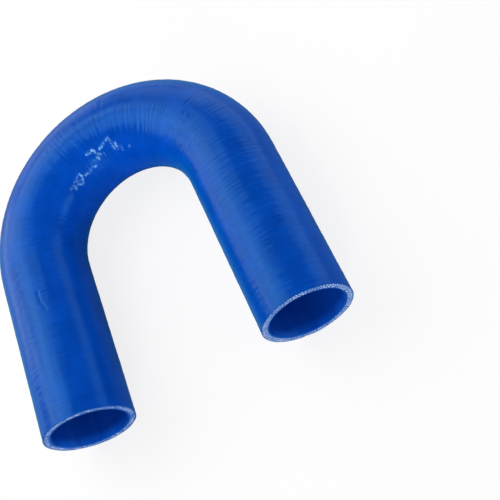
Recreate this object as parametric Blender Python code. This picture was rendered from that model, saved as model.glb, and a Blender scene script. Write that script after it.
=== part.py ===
"""A pre-formed silicone elbow hose for an engine's coolant or air pipes.

The hose is one moulding: a round tube of constant wall, bent once into a U, with two straight legs
that slide over pipe stubs. It lies flat on its side, with both open ends towards -Y.

Metres, +Z up. The origin is on the floor, under the middle of the hose's outline.
"""

import math

import bmesh
import bpy
from mathutils import Matrix, Vector

# Driving dimensions
BORE_DIAMETER = 0.038  # fits a 38 mm pipe stub
WALL = 0.004  # three fabric plies in silicone
BEND_RADIUS = 0.0575  # of the centreline, about one and a half bores
BEND_ANGLE = math.radians(177.0)  # a U whose legs stand three degrees open
LEFT_LEG = 0.0885  # straight length beyond the bend, at -X
RIGHT_LEG = 0.092  # straight length beyond the bend, at +X
CUT_EDGE_EASE = 0.0004  # the knife leaves the rims of the cut ends barely rounded

# Facets
STEPS_AROUND = 36
STEPS_IN_BEND = 36
EASE_SEGMENTS = 2
RIM_ANGLE = math.radians(60)  # only the cut ends' rims fold by more than this

# Looks
SILICONE_BLUE = (0.004, 0.065, 0.46, 1.0)
SILICONE_ROUGHNESS = 0.32

BORE_RADIUS = BORE_DIAMETER / 2
OUTER_RADIUS = BORE_RADIUS + WALL


def remove_all_objects():
    for old in list(bpy.data.objects):
        bpy.data.objects.remove(old, do_unlink=True)


def silicone():
    """Glossy blue rubber."""
    material = bpy.data.materials.new("silicone_blue")
    material.use_nodes = True
    shader = material.node_tree.nodes["Principled BSDF"]
    shader.inputs["Base Color"].default_value = SILICONE_BLUE
    shader.inputs["Roughness"].default_value = SILICONE_ROUGHNESS
    shader.inputs["Metallic"].default_value = 0.0
    material.diffuse_color = SILICONE_BLUE
    return material


def ring_profile(bm, matrix):
    """The hose's cross-section, a flat ring of faces, placed by matrix."""
    outer, bore = (
        bmesh.ops.create_circle(bm, segments=STEPS_AROUND, radius=radius, matrix=matrix)["verts"]
        for radius in (OUTER_RADIUS, BORE_RADIUS)
    )
    return [
        bm.faces.new((outer[i - 1], outer[i], bore[i], bore[i - 1])) for i in range(STEPS_AROUND)
    ]


def pull_out_leg(bm, profile, offset):
    """Lengthens the pipe by offset at the end where profile closes its wall."""
    grown = bmesh.ops.extrude_face_region(bm, geom=profile)["geom"]
    far_points = [g for g in grown if isinstance(g, bmesh.types.BMVert)]
    bmesh.ops.translate(bm, verts=far_points, vec=offset)
    bmesh.ops.delete(bm, geom=profile, context="FACES")


def hose_mesh():
    """The whole moulding: the cross-section swept round the bend and along both legs.

    The bend's centre is at the world's origin here, and the bend is symmetrical about the YZ plane.
    """
    bm = bmesh.new()
    to_bend_start = Matrix.Rotation(BEND_ANGLE / 2, 4, "Z")
    to_bend_end = Matrix.Rotation(-BEND_ANGLE / 2, 4, "Z")
    across_the_pipe = Matrix.Translation((0, BEND_RADIUS, 0)) @ Matrix.Rotation(math.pi / 2, 4, "Y")

    first_profile = ring_profile(bm, to_bend_start @ across_the_pipe)
    spun = bmesh.ops.spin(
        bm,
        geom=first_profile,
        cent=(0, 0, 0),
        axis=(0, 0, -1),
        dvec=(0, 0, 0),
        angle=BEND_ANGLE,
        steps=STEPS_IN_BEND,
        use_duplicate=False,
    )["geom_last"]
    last_profile = [g for g in spun if isinstance(g, bmesh.types.BMFace)]
    pull_out_leg(bm, first_profile, to_bend_start @ Vector((-LEFT_LEG, 0, 0)))
    pull_out_leg(bm, last_profile, to_bend_end @ Vector((RIGHT_LEG, 0, 0)))

    bmesh.ops.recalc_face_normals(bm, faces=bm.faces)
    rims = [edge for edge in bm.edges if edge.calc_face_angle() > RIM_ANGLE]
    bmesh.ops.bevel(
        bm,
        geom=rims,
        offset=CUT_EDGE_EASE,
        offset_type="OFFSET",
        segments=EASE_SEGMENTS,
        profile=0.5,
        affect="EDGES",
    )
    mesh = bpy.data.meshes.new("elbow_hose")
    bm.to_mesh(mesh)
    bm.free()
    return mesh


def stand_on_origin(mesh):
    """Moves the mesh so that the origin is under the middle of its outline, at floor level."""
    lows = [min(v.co[axis] for v in mesh.vertices) for axis in range(3)]
    highs = [max(v.co[axis] for v in mesh.vertices) for axis in range(3)]
    foot = Vector(((lows[0] + highs[0]) / 2, (lows[1] + highs[1]) / 2, lows[2]))
    mesh.transform(Matrix.Translation(-foot))


def elbow_hose():
    mesh = hose_mesh()
    stand_on_origin(mesh)
    mesh.shade_smooth()
    mesh.set_sharp_from_angle(angle=math.radians(30))
    mesh.materials.append(silicone())
    hose = bpy.data.objects.new("elbow_hose", mesh)
    bpy.context.scene.collection.objects.link(hose)
    return hose


remove_all_objects()
elbow_hose()
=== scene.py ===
"""The looks of a pre-formed silicone elbow hose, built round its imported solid.

One fine skin replaces the solid. It is modelled as a straight hose with the marks that its making and its
use leave, and then bent: rings from the wrapping tape, small creases inside the bend, two dents, and
knife-cut ends. The cut ends of the fabric's yarns are a second piece. Metres, +Z up.

In the straight hose, x is the distance from the left end, y points away from the bend's centre, and z points
up. A place on it is given as its distance and its angle round the hose, from the side away from the bend's
centre. The skin's points keep their place in the straight hose, and the silicone's patterns lie in it.
"""

import math
import random

import bmesh
import bpy
from mathutils import Matrix, Quaternion, Vector, noise


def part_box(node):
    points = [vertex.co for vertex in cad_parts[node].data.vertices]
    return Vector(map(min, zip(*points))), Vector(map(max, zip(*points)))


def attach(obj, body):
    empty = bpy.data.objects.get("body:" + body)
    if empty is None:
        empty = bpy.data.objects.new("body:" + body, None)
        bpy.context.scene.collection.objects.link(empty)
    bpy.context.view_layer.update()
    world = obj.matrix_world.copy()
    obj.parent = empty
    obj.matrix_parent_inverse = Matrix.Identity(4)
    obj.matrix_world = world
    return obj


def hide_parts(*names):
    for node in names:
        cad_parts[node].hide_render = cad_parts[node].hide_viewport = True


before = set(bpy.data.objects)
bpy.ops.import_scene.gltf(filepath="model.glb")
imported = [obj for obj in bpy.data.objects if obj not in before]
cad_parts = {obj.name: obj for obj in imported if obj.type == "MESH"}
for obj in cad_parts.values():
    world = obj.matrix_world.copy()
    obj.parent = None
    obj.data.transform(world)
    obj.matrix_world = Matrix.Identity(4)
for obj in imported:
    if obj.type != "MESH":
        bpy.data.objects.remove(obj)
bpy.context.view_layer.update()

# Sizes of the hose, as in the solid
BORE_RADIUS = 0.019
WALL = 0.004
OUTER_RADIUS = BORE_RADIUS + WALL
BEND_RADIUS = 0.0575
BEND_ANGLE = math.radians(177.0)
LEFT_LEG = 0.0885
RIGHT_LEG = 0.092
CUT_EDGE_EASE = 0.0004
BEND_LENGTH = BEND_RADIUS * BEND_ANGLE
HOSE_LENGTH = LEFT_LEG + BEND_LENGTH + RIGHT_LEG

# Fineness of the skin
STEPS_AROUND = 72
OUTER_STEP = 0.0004  # between the outer side's rings of points
BORE_STEP = 0.005
CUT_FACE_STEP = 0.0004
CREASE_REACHES = (0.0022, 0.0016, 0.0011)  # faces nearer than this to a crease are split, once for each
DENT_REACHES = (0.0025, 0.0018)  # and these near a dent or the nick
MARK_ROOM = 0.004  # round a group of marks, for all that they change

# Rings and waves that the wrapping tape leaves, all of them below the solid's surface
RIB_PITCH = 0.0028
RIB_DEPTHS = (0.00013, 0.00026)  # at the left end and at the right one
RIB_REACH = 0.014  # how far round the hose one rib keeps its form
RIB_DRIFT = 0.6  # how far the ribs stray along the hose, in half pitches
DRIFT_SHIFT = Vector((7, 3, 5))  # so that the drift doesn't follow the waves
WAVE_LENGTH = 0.014
WAVE_DEPTH = 0.00012

# Small creases inside the bend, where the fabric is pushed together: how high each is, and how strong the
# pale highlight painted on it, from 0 to 1, and a line of (distance, degrees)
CREASES = (
    (0.95, ((0.1679, 129.7), (0.1707, 130.5), (0.1726, 129.5), (0.1737, 132.0))),
    (0.55, ((0.1735, 133.4), (0.1749, 137.5), (0.1763, 140.2))),
    (0.75, ((0.1729, 140.7), (0.1732, 144.1))),
    (0.7, ((0.1772, 133.5), (0.1801, 132.1))),
    (0.45, ((0.1801, 132.1), (0.1837, 128.8), (0.1868, 125.8))),
    (0.45, ((0.1868, 125.8), (0.1874, 129.5), (0.1876, 133.8), (0.1879, 142.9))),
    (0.95, ((0.1902, 135.3), (0.1906, 143.3))),
    (0.2, ((0.1937, 140.8), (0.1934, 147.6))),
    (0.3, ((0.2004, 143.9), (0.1995, 147.2))),
    (0.8, ((0.1650, 147.6), (0.1671, 149.0))),
    (0.5, ((0.1622, 148.3), (0.1597, 149.1), (0.1567, 148.3))),
    (0.6, ((0.1540, 140.8), (0.1542, 146.8))),
    (0.5, ((0.1530, 148.0), (0.1507, 151.9), (0.1489, 152.0), (0.1473, 148.1))),
    (0.32, ((0.1516, 140.8), (0.1481, 142.5), (0.1452, 143.4), (0.1409, 142.8))),
    (0.5, ((0.1447, 145.6), (0.1436, 148.8))),
    (0.35, ((0.1475, 143.3), (0.1493, 145.0), (0.1507, 148.0))),
)
CREASE_HEIGHT = 0.0002
CREASE_WIDTH = 0.00062

# The highlight painted on the creases comes and goes along them
GLINT_PAINT_LEVEL = 0.72
GLINT_PAINT_CHANGE = 1.9
GLINT_PAINT_GRAINS = 1100  # per metre

# Small dents on top of the left leg and of the bend: how deep each is, from 0 to 1, and a line
DENTS = (
    (1.0, ((0.0686, 100.3), (0.0654, 100.2), (0.0616, 101.5), (0.0578, 104.9))),
    (0.8, ((0.2392, 88.5), (0.2413, 84.0), (0.2428, 89.0))),
)
DENT_DEPTH = 0.0003
DENT_WIDTH = 0.0008

# The knife's cut, and a nick in the right end's rim
CUT_WAVE_LENGTH = 0.007
CUT_WAVE_DEPTH = 0.0004
CUT_END_SHIFT = 10  # so that the two ends differ
NICK = ((1.0, ((0.3546, 246.0), (0.3581, 246.0))),)
NICK_DEPTH = 0.0006
NICK_WIDTH = 0.0009

# Cut ends of the fabric's yarns, one bead for each
PLIES = (  # radius, and the beads' sizes at the left end and at the right one
    (0.0203, (0.7, 1.0)),
    (0.0211, (1.5, 0.6)),
    (0.0218, (0.7, 1.1)),
)
PLY_SWAY = 0.0001  # the yarns of a ply lie in turn nearer to the bore and to the outside
YARN_PITCH = 0.0015
YARN_STRAY = 0.2  # of the pitch, to either side
YARN_SEED = 4
YARN_RADIUS = 0.00033
YARN_SIZES = (0.8, 1.15)  # a bead's share of that radius lies between these
LEFT_YARN_SIZES = (0.35, 0.7, 1.05)  # and is scaled by one of these at the left end, whose beads differ more
CROWDING = 0.5  # how far the sizes also go up and down round the end
CROWD_SPREAD = 3  # how fast they do
CROWD_END_SHIFT = 5  # so that the two ends differ
YARN_LEAN = 0.6  # of a bead's long way, from the hose's radius, in radians
LEAN_STRAY = 0.25
BEAD_LENGTHS = (1.4, 2.2)  # a bead's length lies between these, as a share of its width
BEAD_SUBDIVISIONS = 2
BEAD_FLATNESS = 0.5
YARN_PROUD = 0.0001  # how far a yarn stands out of the cut
LINER_RADIUS = 0.0198  # the bore's own layer of silicone, and the outer one, have no yarn
COVER_RADIUS = 0.0225

# Colours
SILICONE_BLUE = (0.0, 0.067, 0.51)
DEEP_BLUE = (0.0, 0.058, 0.45)
PALE_BLUE = (0.0, 0.076, 0.56)
BORE_BLUE = (0.004, 0.078, 0.52)
LINER_BLUE = (0.004, 0.07, 0.38)
CUT_DARK = (0.01, 0.07, 0.34)
CUT_PALE = (0.04, 0.15, 0.45)
YARN_WHITE = (0.62, 0.74, 0.9)
# a pale blue painted on the creases as a highlight, for their glints
PAINTED_GLINT_BLUE = (0.22, 0.56, 1.0)
GLOSS_TINT = (0.2, 0.85, 1.0)
SHEEN_BLUE = (0.0, 0.7, 1.0)

# Patterns: a grain's lengths along the hose and across it, and the part of the noise's range that is used
RING_GRAIN = (0.0014, 0.02)
RING_SHARE = 0.3  # of the outer side's tone
RING_BUMP = 0.00001
CLOUD_GRAIN = (0.012, 0.009)
CLOUD_SHARE = 0.7  # of the outer side's tone
CLOUD_DETAIL = 3.0
CLOUD_SHIFT = 5.0  # so that the clouds don't follow the rings
TONE_RANGE = (0.35, 0.65)
SPECK_GRAIN = (0.0006, 0.0006)
SPECK_BUMP = 0.0001
SPECK_RANGE = (0.4, 0.6)
LAYER_BLEND = 0.0001  # to each side of the border between two layers of the wall
STREAK_GRAIN = (0.05, 0.004)
STREAK_RANGE = (0.3, 0.7)
STAIN_SCALE = 900
STAIN_RANGE = (0.45, 0.65)

# Gloss
SILICONE_IOR = 1.42
OUTER_GLOSS = 0.42
INNER_GLOSS = 0.3  # of the cut ends and the bore
OUTER_ROUGHNESS = 0.2  # without its pattern
OUTER_ROUGHNESS_RANGE = (0.18, 0.27)  # over the tone's range
CREASE_SHINE = 0.1  # how much less rough the creases are, where their highlight is painted
CUT_ROUGHNESS = 0.55
BORE_ROUGHNESS = 0.35  # without its pattern
BORE_ROUGHNESS_RANGE = (0.32, 0.4)  # over the streaks' range
YARN_ROUGHNESS = 0.8
SHEEN_WEIGHT = 0.3
SHEEN_ROUGHNESS = 0.4

# The photograph's view
CAMERA_SENSOR = 36  # millimetres, as the lens
CAMERA_LENS = 67.55
CAMERA_AIM = Vector((0.04747, -0.04105, 0.023))
CAMERA_DISTANCE = 0.4479
CAMERA_AZIMUTH = math.radians(21.14)
CAMERA_ELEVATION = math.radians(58.36)
CAMERA_ROLL = math.radians(-48.62)

# The studio
WORLD_STRENGTH = 0.14
FLOOR_HALF = 60.0  # of its width
FLOOR_GREY = 0.6  # as it lights the hose
FLOOR_ROUGHNESS = 0.9
FLOOR_SHADE = 0.2  # the share of the floor's white that lamps and shadows change, as the camera sees it
FLOOR_LIFT = 0.83  # the rest of its white
GLOSS_GREY = 0.2  # the floor as the gloss sees it, before the lift
SHADED_FLOOR = 0.12  # from the hose's middle: up to here, the gloss sees the floor unlifted
WHITE_FLOOR = 1.0  # and from here on with the whole lift

# Square lamps aimed at the hose: azimuth from +Y towards +X, elevation, strength, width as a share of the
# distance, and distance
SOFTBOXES = {
    "left_low": (306, 14, 1.4, 0.5, 0.8),
    "left_front": (284, 39, 2.4, 0.5, 0.6),
    "left_back": (322, 39, 2.35, 0.5, 0.6),
    "left_high": (300, 63, 2.3, 0.5, 0.6),
    "back_left": (337, 14, 0.8, 0.5, 0.7),
    "back_right": (11, 23, 0.8, 0.5, 0.7),
    "back_high": (355, 53, 1.4, 0.45, 0.7),
    "back_side": (35, 14, 0.8, 0.5, 0.7),
    "right_back": (62, 12, 0.75, 0.5, 1.0),
    "right_low": (118, 10, 2.4, 0.5, 1.0),
    "glint_lamp": (186, 27, 150.0, 0.04, 1.0),
}
FILLS = {  # not seen in the gloss
    "right_fill": (75, 11, 3.2, 0.5, 1.0),
    "front_fill": (188, 6, 11.5, 0.5, 1.0),
}


def bend_centre():
    """The centre of the bend, from the solid's box: the bend's top and the right end's rim touch it."""
    low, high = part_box("elbow_hose")
    half = BEND_ANGLE / 2
    reach = (BEND_RADIUS + OUTER_RADIUS) * math.sin(half) + (RIGHT_LEG - CUT_EDGE_EASE) * math.cos(half)
    return Vector((high.x - reach, high.y - BEND_RADIUS - OUTER_RADIUS, (low.z + high.z) / 2))


BEND_CENTRE = bend_centre()


def section_at(distance):
    """The centreline's point, its direction and the direction away from the bend's centre."""
    along_bend = min(max(distance - LEFT_LEG, 0.0), BEND_LENGTH)
    turn = along_bend / BEND_RADIUS - BEND_ANGLE / 2
    outward = Vector((math.sin(turn), math.cos(turn), 0))
    forward = Vector((math.cos(turn), -math.sin(turn), 0))
    past_bend = distance - LEFT_LEG - along_bend
    return BEND_CENTRE + outward * BEND_RADIUS + forward * past_bend, forward, outward


def bent(place):
    """Where a place in the straight hose lies in the bent one."""
    point, _, outward = section_at(place.x)
    return point + outward * place.y + Vector((0, 0, place.z))


def straight(distance, radius, angle):
    return Vector((distance, radius * math.cos(angle), radius * math.sin(angle)))


def stretch_at(distance, angle):
    """How much longer than the centreline the outer side is there, along the hose."""
    in_bend = LEFT_LEG < distance < LEFT_LEG + BEND_LENGTH
    return 1 + OUTER_RADIUS * math.cos(angle) / BEND_RADIUS if in_bend else 1


def marks_along(chains):
    """The chains' pieces as (share, start, end), and the box round them of distances and angles."""
    lines = []
    for share, chain in chains:
        corners = [(distance, math.radians(degrees)) for distance, degrees in chain]
        lines += [(share, start, end) for start, end in zip(corners, corners[1:])]
    distances, angles = zip(*(end for _, *ends in lines for end in ends))
    first, last = min(distances) - MARK_ROOM, max(distances) + MARK_ROOM
    turn = MARK_ROOM / OUTER_RADIUS
    return lines, (first, last, min(angles) - turn, max(angles) + turn)


def gaps_to(distance, angle, marks):
    """The gaps on the outer side from a place to the marks' lines: (share, gap), or none if far off."""
    lines, (first, last, low, high) = marks
    angle %= 2 * math.pi
    if not (first < distance < last and low < angle < high):
        return []
    stretch = stretch_at(distance, angle)
    gaps = []
    for share, (start_distance, start_angle), (end_distance, end_angle) in lines:
        x = (distance - start_distance) * stretch
        y = (angle - start_angle) * OUTER_RADIUS
        line_x = (end_distance - start_distance) * stretch
        line_y = (end_angle - start_angle) * OUTER_RADIUS
        along = min(max((x * line_x + y * line_y) / (line_x * line_x + line_y * line_y), 0.0), 1.0)
        gaps.append((share, math.hypot(x - along * line_x, y - along * line_y)))
    return gaps


def ridges(distance, angle, marks, height, width):
    """The height of small ridges along the lines of the marks."""
    gaps = gaps_to(distance, angle, marks)
    return height * max((share * math.exp(-((gap / width) ** 2)) for share, gap in gaps), default=0.0)


def noise_share(place):
    """Smooth noise from 0 to 1."""
    return 0.5 + 0.5 * noise.noise(place)


def wrap_relief(distance, angle):
    """How far the outer side lies below the solid's, from the tape that the hose was cured in."""
    around = Vector((math.cos(angle), math.sin(angle))) * OUTER_RADIUS
    slow = Vector((distance / WAVE_LENGTH, around.x / WAVE_LENGTH, around.y / WAVE_LENGTH))
    drift = RIB_DRIFT * noise.noise(slow / 2 + DRIFT_SHIFT)
    rib = Vector((2 * distance / RIB_PITCH + drift, around.x / RIB_REACH, around.y / RIB_REACH))
    left_depth, right_depth = RIB_DEPTHS
    rib_depth = left_depth + (right_depth - left_depth) * distance / HOSE_LENGTH
    return WAVE_DEPTH * noise_share(slow) + rib_depth * noise_share(rib)


def cut_relief(side, angle, radius):
    """How far a knife-cut end lies below the solid's."""
    place = Vector((math.cos(angle), math.sin(angle))) * (radius / CUT_WAVE_LENGTH)
    return CUT_WAVE_DEPTH * noise_share(Vector((place.x, place.y, CUT_END_SHIFT * side)))


CREASE_MARKS = marks_along(CREASES)
DENT_MARKS = [marks_along([dent]) for dent in DENTS]
NICK_MARKS = marks_along(NICK)


def painted_glint_share(place):
    """How much pale highlight is painted on a place of the outer side, from 0 to 1; it is painted unevenly
    along the creases.
    """
    angle = math.atan2(place.z, place.y)
    glint_strength = GLINT_PAINT_LEVEL + GLINT_PAINT_CHANGE * noise.noise(place * GLINT_PAINT_GRAINS)
    return min(1.0, max(0.0, glint_strength * ridges(place.x, angle, CREASE_MARKS, 1.0, CREASE_WIDTH)))


def marked(place):
    """A place of the straight hose, moved by the marks of its surface."""
    distance = place.x
    radius = math.hypot(place.y, place.z)
    angle = math.atan2(place.z, place.y)
    ease = CUT_EDGE_EASE
    if ease / 2 < distance < HOSE_LENGTH - ease / 2:
        if radius < BORE_RADIUS + WALL / 2:
            return place
        radius = OUTER_RADIUS - wrap_relief(distance, angle)
        radius += ridges(distance, angle, CREASE_MARKS, CREASE_HEIGHT, CREASE_WIDTH)
        for marks in DENT_MARKS:
            radius -= ridges(distance, angle, marks, DENT_DEPTH, DENT_WIDTH)
        radius -= ridges(distance, angle, NICK_MARKS, NICK_DEPTH, NICK_WIDTH)
        return straight(distance, radius, angle)
    if distance < ease:
        return straight(distance + cut_relief(0, angle, radius), radius, angle)
    if radius > BORE_RADIUS + WALL / 2:
        radius -= ridges(distance, angle, NICK_MARKS, NICK_DEPTH, NICK_WIDTH)
    return straight(distance - cut_relief(1, angle, radius), radius, angle)


def spread(start, stop, step):
    """Evenly spaced values from start to stop, about a step apart."""
    count = max(2, round(abs(stop - start) / step) + 1)
    return [start + (stop - start) * i / (count - 1) for i in range(count)]


def wall_profile():
    """The wall's section as a closed path: (material's index, distance, radius)."""
    ease = CUT_EDGE_EASE
    turn = ease * (1 - math.cos(math.pi / 4))  # from either face to the middle of the rounded rim
    face = spread(OUTER_RADIUS - ease, BORE_RADIUS + ease, CUT_FACE_STEP)
    depths = [(turn, OUTER_RADIUS - turn)]
    depths += [(0.0, radius) for radius in face]
    depths += [(turn, BORE_RADIUS + turn)]
    path = [(0, distance, OUTER_RADIUS) for distance in spread(ease, HOSE_LENGTH - ease, OUTER_STEP)]
    path += [(1, HOSE_LENGTH - depth, radius) for depth, radius in depths]
    path += [(2, distance, BORE_RADIUS) for distance in spread(HOSE_LENGTH - ease, ease, BORE_STEP)]
    path += [(1, depth, radius) for depth, radius in reversed(depths)]
    return path


def refine(bm, marks, reaches):
    """Splits the outer side's faces near the marks into four, once for each reach."""
    for reach in reaches:
        faces = []
        for face in bm.faces:
            middle = face.calc_center_median()
            angle = math.atan2(middle.z, middle.y)
            outside = math.hypot(middle.y, middle.z) > BORE_RADIUS + WALL / 2
            if outside and any(gap < reach for _, gap in gaps_to(middle.x, angle, marks)):
                faces.append(face)
        edges = list({edge for face in faces for edge in face.edges})
        bmesh.ops.subdivide_edges(bm, edges=edges, cuts=1, use_grid_fill=True)


def hose_skin(materials):
    """The whole surface as one closed mesh, built straight and then bent."""
    bm = bmesh.new()
    unbent = bm.verts.layers.float_vector.new("unbent")
    # the share of pale highlight painted on the creases, for the outer material
    glint_painted = bm.verts.layers.float.new("glint_painted")
    angles = [2 * math.pi * i / STEPS_AROUND for i in range(STEPS_AROUND)]
    path = wall_profile()
    rings = [
        [bm.verts.new(straight(distance, radius, angle)) for angle in angles]
        for _, distance, radius in path
    ]
    for row, ring in enumerate(rings):
        after = rings[(row + 1) % len(rings)]
        index, after_index = path[row][0], path[(row + 1) % len(path)][0]
        for i in range(STEPS_AROUND):
            face = bm.faces.new((ring[i - 1], ring[i], after[i], after[i - 1]))
            face.material_index = index if index == after_index else 1
            face.smooth = True
    refine(bm, CREASE_MARKS, CREASE_REACHES)
    for marks in (*DENT_MARKS, NICK_MARKS):
        refine(bm, marks, DENT_REACHES)
    for vert in bm.verts:
        vert[unbent] = vert.co
        vert[glint_painted] = painted_glint_share(vert.co)
        vert.co = bent(marked(vert.co))
    mesh = bpy.data.meshes.new("hose_skin")
    bm.to_mesh(mesh)
    bm.free()
    for material in materials:
        mesh.materials.append(material)
    skin = bpy.data.objects.new("hose_skin", mesh)
    bpy.context.scene.collection.objects.link(skin)
    return skin


def cut_frame(side, angle, radius):
    """A place on a cut end: the point, the way out of the hose, away from its middle, and round it."""
    end = HOSE_LENGTH * side
    inward = 1 - 2 * side
    point = bent(straight(end + inward * cut_relief(side, angle, radius), radius, angle))
    _, forward, outward = section_at(end)
    away = outward * math.cos(angle) + Vector((0, 0, math.sin(angle)))
    return point, -inward * forward, away


def bead():
    """The corners and faces of a small ball, for a yarn's end."""
    bm = bmesh.new()
    bmesh.ops.create_icosphere(bm, subdivisions=BEAD_SUBDIVISIONS, radius=1)
    bm.verts.index_update()
    corners = [vert.co.copy() for vert in bm.verts]
    faces = [[vert.index for vert in face.verts] for face in bm.faces]
    bm.free()
    return corners, faces


def yarn_ends(material):
    """The cut ends of the lengthwise yarns: flattened beads, part sunk in the cut faces."""
    dice = random.Random(YARN_SEED)
    corners, bead_faces = bead()
    points = []
    faces = []
    for side in (0, 1):
        for ply_radius, sizes in PLIES:
            count = 2 * round(math.pi * ply_radius / YARN_PITCH)  # even, as they lie in turn
            for k in range(count):
                angle = 2 * math.pi * (k + dice.uniform(-YARN_STRAY, YARN_STRAY)) / count
                sway = PLY_SWAY * (1 if k % 2 else -1)
                round_end = Vector((math.cos(angle), math.sin(angle), 0)) * CROWD_SPREAD
                round_end.z = CROWD_END_SHIFT * side
                crowd = CROWDING * noise.noise(round_end)
                size = sizes[side] * YARN_RADIUS * (dice.uniform(*YARN_SIZES) + crowd)
                if side == 0:
                    size *= dice.choice(LEFT_YARN_SIZES)
                point, out, away = cut_frame(side, angle, ply_radius + sway)
                lean = YARN_LEAN + dice.uniform(-LEAN_STRAY, LEAN_STRAY)
                long_way = away * math.cos(lean) + out.cross(away) * math.sin(lean)
                placed = Matrix((out, long_way, out.cross(long_way))).transposed().to_4x4()
                depth = size * BEAD_FLATNESS
                placed.translation = point - out * (depth - YARN_PROUD)
                scaled = Matrix.Diagonal((depth, size * dice.uniform(*BEAD_LENGTHS), size, 1))
                first = len(points)
                points += [placed @ scaled @ corner for corner in corners]
                faces += [[first + index for index in face] for face in bead_faces]
    mesh = bpy.data.meshes.new("yarn_ends")
    mesh.from_pydata(points, [], faces)
    mesh.shade_smooth()
    mesh.materials.append(material)
    yarns = bpy.data.objects.new("yarn_ends", mesh)
    bpy.context.scene.collection.objects.link(yarns)
    return yarns


def new_material(name, color, roughness):
    material = bpy.data.materials.new(name)
    material.use_nodes = True
    shader = material.node_tree.nodes["Principled BSDF"]
    shader.inputs["Base Color"].default_value = (*color, 1)
    shader.inputs["Roughness"].default_value = roughness
    return material, shader


def kept(tree, name, output):
    """A value that the skin's points carry, as a socket: unbent is the place in the straight hose."""
    attribute = tree.nodes.new("ShaderNodeAttribute")
    attribute.attribute_name = name
    return attribute.outputs[output]


def grain(tree, lengths, detail=1.0, shift=0.0):
    """Noise in the straight hose, from 0 to 1: the lengths are those of its grains along and across."""
    along, across = lengths
    mapping = tree.nodes.new("ShaderNodeMapping")
    mapping.inputs["Location"].default_value = (shift, shift, shift)
    mapping.inputs["Scale"].default_value = (1 / along, 1 / across, 1 / across)
    texture = tree.nodes.new("ShaderNodeTexNoise")
    texture.inputs["Scale"].default_value = 1
    texture.inputs["Detail"].default_value = detail
    tree.links.new(kept(tree, "unbent", "Vector"), mapping.inputs["Vector"])
    tree.links.new(mapping.outputs["Vector"], texture.inputs["Vector"])
    return texture.outputs["Fac"]


def math_of(tree, operation, first, second):
    """A sum, a product or another operation of two sockets or numbers."""
    node = tree.nodes.new("ShaderNodeMath")
    node.operation = operation
    for value, socket in zip((first, second), node.inputs):
        if isinstance(value, float):
            socket.default_value = value
        else:
            tree.links.new(value, socket)
    return node.outputs["Value"]


def ranged(tree, value, low, high, start=0.0, end=1.0):
    """The value carried from low..high to start..end, and held there."""
    node = tree.nodes.new("ShaderNodeMapRange")
    tree.links.new(value, node.inputs["Value"])
    for name, number in (("From Min", low), ("From Max", high), ("To Min", start), ("To Max", end)):
        node.inputs[name].default_value = number
    return node.outputs["Result"]


def mixed(tree, share, first, second):
    """Two colours mixed, each a socket or three numbers; the share is of the second."""
    node = tree.nodes.new("ShaderNodeMix")
    node.data_type = "RGBA"
    tree.links.new(share, node.inputs["Factor"])
    # Inputs 6 and 7 and output 2 are the node's colours
    for value, socket in ((first, node.inputs[6]), (second, node.inputs[7])):
        if isinstance(value, tuple):
            socket.default_value = (*value, 1)
        else:
            tree.links.new(value, socket)
    return node.outputs[2]


def bumped(tree, shader, height, depth):
    node = tree.nodes.new("ShaderNodeBump")
    node.inputs["Distance"].default_value = depth
    tree.links.new(height, node.inputs["Height"])
    tree.links.new(node.outputs["Normal"], shader.inputs["Normal"])


def silicone(name, color, roughness, gloss):
    """Plain silicone rubber, whose gloss has the rubber's own tint."""
    material, shader = new_material(name, color, roughness)
    shader.inputs["IOR"].default_value = SILICONE_IOR
    shader.inputs["Specular IOR Level"].default_value = gloss
    shader.inputs["Specular Tint"].default_value = (*GLOSS_TINT, 1)
    return material, shader


def outer_silicone():
    """The outer side: rings and cloudy patches in its colour and gloss, and a pale highlight painted on the
    creases, which are also less rough.
    """
    material, shader = silicone("silicone_blue", SILICONE_BLUE, OUTER_ROUGHNESS, OUTER_GLOSS)
    shader.inputs["Sheen Weight"].default_value = SHEEN_WEIGHT
    shader.inputs["Sheen Roughness"].default_value = SHEEN_ROUGHNESS
    shader.inputs["Sheen Tint"].default_value = (*SHEEN_BLUE, 1)
    tree = material.node_tree
    rings = grain(tree, RING_GRAIN)
    clouds = grain(tree, CLOUD_GRAIN, CLOUD_DETAIL, CLOUD_SHIFT)
    ring_part = math_of(tree, "MULTIPLY", rings, RING_SHARE)
    tone = math_of(tree, "ADD", ring_part, math_of(tree, "MULTIPLY", clouds, CLOUD_SHARE))
    color = mixed(tree, ranged(tree, tone, *TONE_RANGE), DEEP_BLUE, PALE_BLUE)
    # the creases' painted highlight, which also makes them less rough
    glint_paint_mask = kept(tree, "glint_painted", "Fac")
    tree.links.new(mixed(tree, glint_paint_mask, color, PAINTED_GLINT_BLUE), shader.inputs["Base Color"])
    roughness = ranged(tree, tone, *TONE_RANGE, *OUTER_ROUGHNESS_RANGE)
    shine = math_of(tree, "MULTIPLY", glint_paint_mask, CREASE_SHINE)
    tree.links.new(math_of(tree, "SUBTRACT", roughness, shine), shader.inputs["Roughness"])
    bumped(tree, shader, rings, RING_BUMP)
    return material


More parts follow.
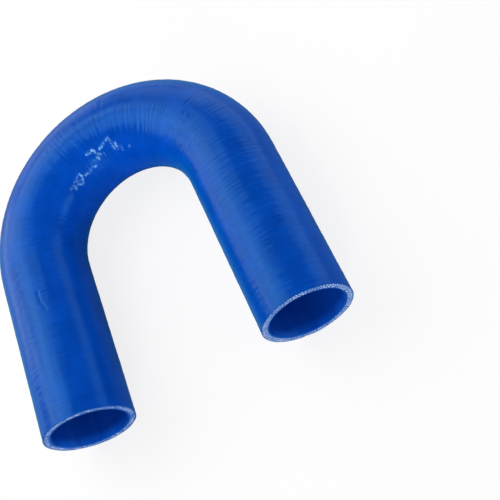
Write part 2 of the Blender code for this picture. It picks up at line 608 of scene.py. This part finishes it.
def cut_silicone():
    """The cut wall: speckled where the knife went through the fabric, plain by the bore and the outside."""
    material, shader = silicone("cut_silicone", SILICONE_BLUE, CUT_ROUGHNESS, INNER_GLOSS)
    tree = material.node_tree
    place = tree.nodes.new("ShaderNodeSeparateXYZ")
    tree.links.new(kept(tree, "unbent", "Vector"), place.inputs["Vector"])
    squares = [math_of(tree, "MULTIPLY", place.outputs[axis], place.outputs[axis]) for axis in ("Y", "Z")]
    radius = math_of(tree, "POWER", math_of(tree, "ADD", *squares), 0.5)
    past_liner = ranged(tree, radius, LINER_RADIUS - LAYER_BLEND, LINER_RADIUS + LAYER_BLEND)
    in_cover = ranged(tree, radius, COVER_RADIUS - LAYER_BLEND, COVER_RADIUS + LAYER_BLEND)
    fabric = math_of(tree, "SUBTRACT", past_liner, in_cover)
    specks = grain(tree, SPECK_GRAIN)
    between = mixed(tree, ranged(tree, specks, *SPECK_RANGE), CUT_DARK, CUT_PALE)
    tree.links.new(mixed(tree, fabric, LINER_BLUE, between), shader.inputs["Base Color"])
    bumped(tree, shader, specks, SPECK_BUMP)
    return material


def bore_silicone():
    """The bore: smooth, with faint long streaks from the former."""
    material, shader = silicone("bore_silicone", BORE_BLUE, BORE_ROUGHNESS, INNER_GLOSS)
    tree = material.node_tree
    streaks = grain(tree, STREAK_GRAIN)
    color = mixed(tree, ranged(tree, streaks, *STREAK_RANGE), BORE_BLUE, DEEP_BLUE)
    tree.links.new(color, shader.inputs["Base Color"])
    roughness = ranged(tree, streaks, *STREAK_RANGE, *BORE_ROUGHNESS_RANGE)
    tree.links.new(roughness, shader.inputs["Roughness"])
    return material


def yarn():
    """White polyester yarn, with some of it stained by the silicone."""
    material, shader = new_material("yarn", YARN_WHITE, YARN_ROUGHNESS)
    tree = material.node_tree
    stains = tree.nodes.new("ShaderNodeTexNoise")
    stains.inputs["Scale"].default_value = STAIN_SCALE
    color = mixed(tree, ranged(tree, stains.outputs["Fac"], *STAIN_RANGE), YARN_WHITE, CUT_PALE)
    tree.links.new(color, shader.inputs["Base Color"])
    return material


def way_to(azimuth, elevation):
    """The direction at an azimuth from +Y towards +X and an elevation, in radians."""
    level = math.cos(elevation)
    return Vector((math.sin(azimuth) * level, math.cos(azimuth) * level, math.sin(elevation)))


def camera():
    data = bpy.data.cameras.new("camera")
    data.lens = CAMERA_LENS
    data.sensor_width = CAMERA_SENSOR
    obj = bpy.data.objects.new("camera", data)
    back = way_to(math.pi - CAMERA_AZIMUTH, CAMERA_ELEVATION)
    obj.location = CAMERA_AIM + back * CAMERA_DISTANCE
    obj.rotation_mode = "QUATERNION"
    obj.rotation_quaternion = (-back).to_track_quat("-Z", "Y") @ Quaternion((0, 0, 1), CAMERA_ROLL)
    bpy.context.scene.collection.objects.link(obj)
    bpy.context.scene.camera = obj


def softbox(name, azimuth, elevation, strength, width, distance):
    """A square lamp aimed at the hose; the strength is the brightness of its face."""
    data = bpy.data.lights.new(name, "AREA")
    data.size = width * distance
    data.energy = strength * math.pi * data.size**2
    lamp = bpy.data.objects.new(name, data)
    away = way_to(math.radians(azimuth), math.radians(elevation))
    lamp.location = away * distance + Vector((0, 0, OUTER_RADIUS))
    lamp.rotation_mode = "QUATERNION"
    lamp.rotation_quaternion = (-away).to_track_quat("-Z", "Y")
    bpy.context.scene.collection.objects.link(lamp)
    return lamp


def lamps():
    for name, sizes in SOFTBOXES.items():
        softbox(name, *sizes)
    for name, sizes in FILLS.items():
        softbox(name, *sizes).visible_glossy = False


def grey(level):
    return (level, level, level)


def lifted_floor(tree):
    """The floor as the camera sees it: nearly white by itself, with a share that takes light and shadow."""
    shade = tree.nodes.new("ShaderNodeBsdfDiffuse")
    shade.inputs["Color"].default_value = (*grey(FLOOR_SHADE), 1)
    glow = tree.nodes.new("ShaderNodeEmission")
    glow.inputs["Strength"].default_value = FLOOR_LIFT
    lifted = tree.nodes.new("ShaderNodeAddShader")
    tree.links.new(shade.outputs["BSDF"], lifted.inputs[0])
    tree.links.new(glow.outputs["Emission"], lifted.inputs[1])
    return lifted.outputs["Shader"]


def floor_material():
    """Grey as it lights the hose, white to the camera, and in the gloss white only away from the hose."""
    material, shader = new_material("floor", grey(FLOOR_GREY), FLOOR_ROUGHNESS)
    tree = material.node_tree
    nodes, links = tree.nodes, tree.links
    rays = nodes.new("ShaderNodeLightPath").outputs
    in_gloss = rays["Is Glossy Ray"]
    place = nodes.new("ShaderNodeTexCoord")
    from_hose = nodes.new("ShaderNodeVectorMath")
    from_hose.operation = "LENGTH"
    links.new(place.outputs["Object"], from_hose.inputs[0])
    lift = ranged(tree, from_hose.outputs["Value"], SHADED_FLOOR, WHITE_FLOOR, 0.0, FLOOR_LIFT)
    shader.inputs["Specular IOR Level"].default_value = 0.0
    shader.inputs["Emission Color"].default_value = (1, 1, 1, 1)
    links.new(mixed(tree, in_gloss, grey(FLOOR_GREY), grey(GLOSS_GREY)), shader.inputs["Base Color"])
    links.new(math_of(tree, "MULTIPLY", in_gloss, lift), shader.inputs["Emission Strength"])
    seen = nodes.new("ShaderNodeMixShader")
    seen_straight = math_of(tree, "ADD", rays["Is Camera Ray"], rays["Is Transmission Ray"])
    links.new(seen_straight, seen.inputs["Fac"])
    links.new(shader.outputs["BSDF"], seen.inputs[1])
    links.new(lifted_floor(tree), seen.inputs[2])
    links.new(seen.outputs["Shader"], nodes["Material Output"].inputs["Surface"])
    return material


def floor():
    """A wide pale floor that keeps the hose's shadow."""
    mesh = bpy.data.meshes.new("floor")
    half = FLOOR_HALF
    corners = [(-half, -half, 0), (half, -half, 0), (half, half, 0), (-half, half, 0)]
    mesh.from_pydata(corners, [], [(0, 1, 2, 3)])
    mesh.materials.append(floor_material())
    obj = bpy.data.objects.new("floor", mesh)
    bpy.context.scene.collection.objects.link(obj)


def surroundings():
    world = bpy.data.worlds.new("studio")
    bpy.context.scene.world = world
    world.use_nodes = True
    background = world.node_tree.nodes["Background"]
    background.inputs["Color"].default_value = (1, 1, 1, 1)
    background.inputs["Strength"].default_value = WORLD_STRENGTH


bpy.context.scene.view_settings.view_transform = "Standard"
camera()
surroundings()
floor()
lamps()
skin = hose_skin([outer_silicone(), cut_silicone(), bore_silicone()])
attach(skin, "root")
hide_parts("elbow_hose")
yarns = yarn_ends(yarn())
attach(yarns, "root")
